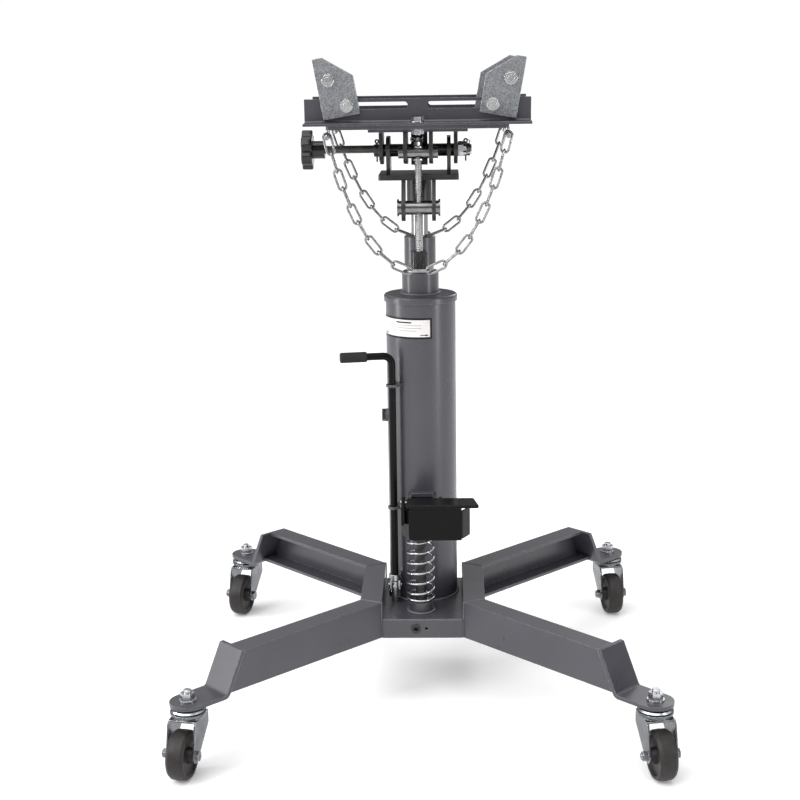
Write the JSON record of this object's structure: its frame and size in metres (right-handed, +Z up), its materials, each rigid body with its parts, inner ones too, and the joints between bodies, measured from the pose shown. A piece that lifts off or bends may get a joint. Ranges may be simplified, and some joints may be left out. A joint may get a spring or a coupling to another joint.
{
  "type": "transmission jack",
  "caption": "Foot-pumped telescopic transmission jack: splayed channel legs on swivel casters, steel column, tilting saddle with sliding corner brackets and retaining chains.",
  "frame": {"origin": "on the floor under the axis of the lift column", "axes": "+Z up along the lift column; -Y is the front, the side of the foot pedal and pump; +X is to the right seen from the front, along the saddle rails"},
  "size_m": [0.7621, 0.7708, 1.0341],
  "materials": {
    "grey_paint": "satin powder coat",
    "black_enamel": "gloss enamel",
    "zinc": "zinc plated",
    "galvanised": "galvanised, granular",
    "dark_steel": "oiled black steel",
    "chrome": "polished hard chrome",
    "ground_steel": "ground steel",
    "wheel_plastic": "moulded, matt",
    "knob_plastic": "moulded, semi gloss",
    "grip_rubber": "soft grip"
  },
  "bodies": {
    "base": {"base_block": "grey_paint", "leg_channels_left": "grey_paint", "leg_channels_right": "grey_paint", "leg_end_plates": "grey_paint", "reservoir_tube": "grey_paint", "reservoir_cap": "grey_paint", "cylinder_tube": "ground_steel", "gland_neck": "grey_paint", "oil_plugs": "dark_steel", "pump_barrel": "grey_paint", "pedal_bracket": "grey_paint", "pedal_pin": "ground_steel", "rod_guides": "grey_paint", "return_spring": "zinc", "caster_upper_races": "zinc", "caster_stem_bolts": "zinc"},
    "stage_1": {"stage_1_tube": "chrome", "stage_1_piston": "ground_steel", "stage_1_collar": "grey_paint"},
    "ram": {"lift_ram": "chrome", "ram_piston": "ground_steel"},
    "head": {"head_socket": "dark_steel", "head_plates": "dark_steel", "lower_trunnion": "dark_steel", "pivot_shaft": "dark_steel"},
    "saddle": {"saddle_plates": "grey_paint", "saddle_lugs": "dark_steel", "saddle_rails": "grey_paint", "rail_bolts": "zinc", "chain_hooks": "zinc"},
    "trunnion": {"upper_trunnion": "dark_steel"},
    "tilt_screw_set": {"tilt_screw": "zinc", "tilt_knob": "dark_steel"},
    "clamp_screw_set": {"lock_screw": "zinc", "lock_knob": "knob_plastic", "lock_nut": "zinc"},
    "front_chain": {"chain_front": "zinc"},
    "rear_chain": {"chain_rear": "zinc"},
    "pedal": {"pedal_lever": "black_enamel", "pedal_tread": "black_enamel"},
    "plunger": {"pump_plunger": "chrome"},
    "release_handle": {"release_rod": "black_enamel", "release_grip": "grip_rubber", "universal_joint": "zinc"},
    "bracket_front_left_set": {"bracket_fl": "galvanised", "bracket_bolts_fl": "zinc"},
    "caster_front_left": {"caster_fork_fl": "zinc"},
    "wheel_front_left": {"caster_wheel_fl": "wheel_plastic"},
    "bracket_front_right_set": {"bracket_fr": "galvanised", "bracket_bolts_fr": "zinc"},
    "caster_front_right": {"caster_fork_fr": "zinc"},
    "wheel_front_right": {"caster_wheel_fr": "wheel_plastic"},
    "bracket_rear_left_set": {"bracket_rl": "galvanised", "bracket_bolts_rl": "zinc"},
    "caster_rear_left": {"caster_fork_rl": "zinc"},
    "wheel_rear_left": {"caster_wheel_rl": "wheel_plastic"},
    "bracket_rear_right_set": {"bracket_rr": "galvanised", "bracket_bolts_rr": "zinc"},
    "caster_rear_right": {"caster_fork_rr": "zinc"},
    "wheel_rear_right": {"caster_wheel_rr": "wheel_plastic"}
  },
  "joints": [
    {"name": "lift_stage_1", "type": "slide", "parent": "base", "child": "stage_1", "axis": [0, 0, 1], "range_m": [0, 0.41]},
    {"name": "lift_stage_2", "type": "slide", "parent": "stage_1", "child": "ram", "axis": [0, 0, 1], "range_m": [0, 0.45]},
    {"name": "head_swivel", "type": "hinge", "parent": "ram", "child": "head", "pos_m": [0, 0, 0.844], "axis": [0, 0, 1], "continuous": true},
    {"name": "saddle_tilt", "type": "hinge", "parent": "head", "child": "saddle", "pos_m": [0, 0, 0.888], "axis": [1, 0, 0], "range_deg": [-12, 12]},
    {"name": "tilt_trunnion", "type": "hinge", "parent": "saddle", "child": "trunnion", "pos_m": [0, -0.062, 0.888], "axis": [1, 0, 0], "range_deg": [-12, 12]},
    {"name": "tilt_screw_turn", "type": "hinge", "parent": "trunnion", "child": "tilt_screw_set", "pos_m": [0, -0.062, 0.888], "axis": [0, 0, 1], "continuous": true},
    {"name": "clamp_screw_turn", "type": "hinge", "parent": "saddle", "child": "clamp_screw_set", "pos_m": [0, -0.03, 0.892], "axis": [1, 0, 0], "continuous": true},
    {"name": "bracket_front_left_slide", "type": "slide", "parent": "saddle", "child": "bracket_front_left_set", "axis": [1, 0, 0], "range_m": [-0.017, 0.085]},
    {"name": "bracket_front_right_slide", "type": "slide", "parent": "saddle", "child": "bracket_front_right_set", "axis": [1, 0, 0], "range_m": [-0.092, 0.01]},
    {"name": "bracket_rear_left_slide", "type": "slide", "parent": "saddle", "child": "bracket_rear_left_set", "axis": [1, 0, 0], "range_m": [-0.004, 0.098]},
    {"name": "bracket_rear_right_slide", "type": "slide", "parent": "saddle", "child": "bracket_rear_right_set", "axis": [1, 0, 0], "range_m": [-0.087, 0.015]},
    {"name": "front_chain_swing", "type": "hinge", "parent": "saddle", "child": "front_chain", "pos_m": [0, -0.098, 0.914], "axis": [1, 0, 0], "range_deg": [-12, 12]},
    {"name": "rear_chain_swing", "type": "hinge", "parent": "saddle", "child": "rear_chain", "pos_m": [0, 0.098, 0.914], "axis": [1, 0, 0], "range_deg": [-12, 12]},
    {"name": "caster_front_left_swivel", "type": "hinge", "parent": "base", "child": "caster_front_left", "pos_m": [-0.34475, -0.37736, 0.0948], "axis": [0, 0, 1], "continuous": true},
    {"name": "wheel_front_left_spin", "type": "hinge", "parent": "caster_front_left", "child": "wheel_front_left", "pos_m": [-0.35098, -0.4067, 0.0375], "axis": [0.9781, -0.2079, 0], "continuous": true},
    {"name": "caster_front_right_swivel", "type": "hinge", "parent": "base", "child": "caster_front_right", "pos_m": [0.34475, -0.37736, 0.0948], "axis": [0, 0, 1], "continuous": true},
    {"name": "wheel_front_right_spin", "type": "hinge", "parent": "caster_front_right", "child": "wheel_front_right", "pos_m": [0.35098, -0.4067, 0.0375], "axis": [0.9781, 0.2079, 0], "continuous": true},
    {"name": "caster_rear_left_swivel", "type": "hinge", "parent": "base", "child": "caster_rear_left", "pos_m": [-0.34475, 0.29736, 0.0948], "axis": [0, 0, 1], "continuous": true},
    {"name": "wheel_rear_left_spin", "type": "hinge", "parent": "caster_rear_left", "child": "wheel_rear_left", "pos_m": [-0.352, 0.26825, 0.0375], "axis": [0.9703, -0.2419, 0], "continuous": true},
    {"name": "caster_rear_right_swivel", "type": "hinge", "parent": "base", "child": "caster_rear_right", "pos_m": [0.34475, 0.29736, 0.0948], "axis": [0, 0, 1], "continuous": true},
    {"name": "wheel_rear_right_spin", "type": "hinge", "parent": "caster_rear_right", "child": "wheel_rear_right", "pos_m": [0.34996, 0.26781, 0.0375], "axis": [0.9848, 0.1736, 0], "continuous": true},
    {"name": "pedal_press", "type": "hinge", "parent": "base", "child": "pedal", "pos_m": [0, -0.074, 0.32], "axis": [1, 0, 0], "range_deg": [0, 22], "stiffness_Nm_per_rad": 4, "springref_deg": -28.65, "deforming": ["return_spring"]},
    {"name": "plunger_stroke", "type": "slide", "parent": "base", "child": "plunger", "axis": [0, 0, -1], "range_m": [0, 0.0095]},
    {"name": "release_turn", "type": "hinge", "parent": "base", "child": "release_handle", "pos_m": [-0.047, -0.054, 0.192], "axis": [0, 0, 1], "range_deg": [-35, 60]}
  ],
  "couplings": [
    {"joint": "tilt_trunnion", "follows": "saddle_tilt", "ratio": -1},
    {"joint": "front_chain_swing", "follows": "saddle_tilt", "ratio": -1},
    {"joint": "rear_chain_swing", "follows": "saddle_tilt", "ratio": -1},
    {"joint": "plunger_stroke", "follows": "pedal_press", "m_per_rad": 0.0222}
  ]
}
